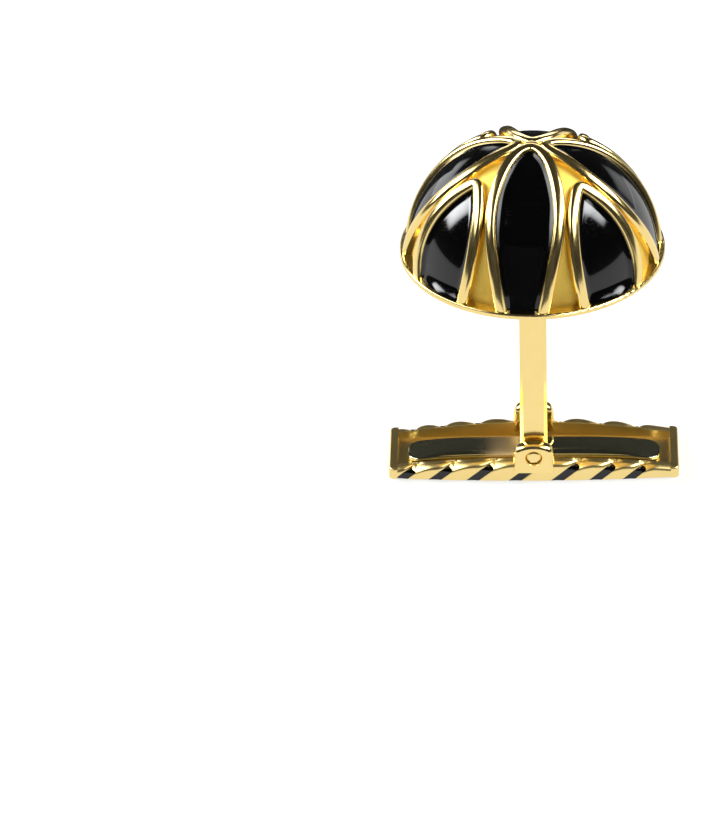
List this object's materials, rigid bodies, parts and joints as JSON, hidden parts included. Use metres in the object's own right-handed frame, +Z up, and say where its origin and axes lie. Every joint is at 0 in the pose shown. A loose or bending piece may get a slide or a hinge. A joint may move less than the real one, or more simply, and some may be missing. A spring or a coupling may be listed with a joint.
{
  "type": "cufflink",
  "caption": "Domed cufflink with raised petal frames and black enamel on a flat post, with a swivel toggle bar.",
  "frame": {"origin": "middle of the toggle's flat underside, under the middle of the head", "axes": "+Z up the post to the head, X along the toggle bar, Y along the hinge pin, -Y the front"},
  "size_m": [0.02, 0.018, 0.0254],
  "materials": {
    "polished_gold": "polished",
    "satin_gold": "satin",
    "spring_steel": "mirror polish",
    "black_enamel": "gloss"
  },
  "bodies": {
    "head": {"dome_shell": "satin_gold", "rim_ring": "polished_gold", "back_plate": "polished_gold", "post": "polished_gold", "large_petal_frame_1": "polished_gold", "large_petal_enamel_1": "black_enamel", "large_petal_frame_2": "polished_gold", "large_petal_enamel_2": "black_enamel", "large_petal_frame_3": "polished_gold", "large_petal_enamel_3": "black_enamel", "large_petal_frame_4": "polished_gold", "large_petal_enamel_4": "black_enamel", "small_petal_frame_1": "polished_gold", "small_petal_enamel_1": "black_enamel", "small_petal_frame_2": "polished_gold", "small_petal_enamel_2": "black_enamel", "small_petal_frame_3": "polished_gold", "small_petal_enamel_3": "black_enamel", "small_petal_frame_4": "polished_gold", "small_petal_enamel_4": "black_enamel"},
    "toggle": {"toggle_tray": "polished_gold", "front_lug": "polished_gold", "back_lug": "polished_gold", "left_end_plate": "polished_gold", "right_end_plate": "polished_gold", "hinge_pin": "polished_gold", "leaf_spring": "spring_steel", "front_stripe_1": "black_enamel", "front_stripe_2": "black_enamel", "front_stripe_3": "black_enamel", "front_stripe_4": "black_enamel", "front_stripe_5": "black_enamel", "front_stripe_6": "black_enamel", "front_stripe_7": "black_enamel", "back_stripe_1": "black_enamel", "back_stripe_2": "black_enamel", "back_stripe_3": "black_enamel", "back_stripe_4": "black_enamel", "back_stripe_5": "black_enamel", "back_stripe_6": "black_enamel", "back_stripe_7": "black_enamel"}
  },
  "joints": [
    {"name": "toggle_swing", "type": "hinge", "parent": "head", "child": "toggle", "pos_m": [0, 0, 0.0019], "axis": [0, 1, 0], "range_deg": [-90, 90], "deforming": ["leaf_spring"]}
  ]
}
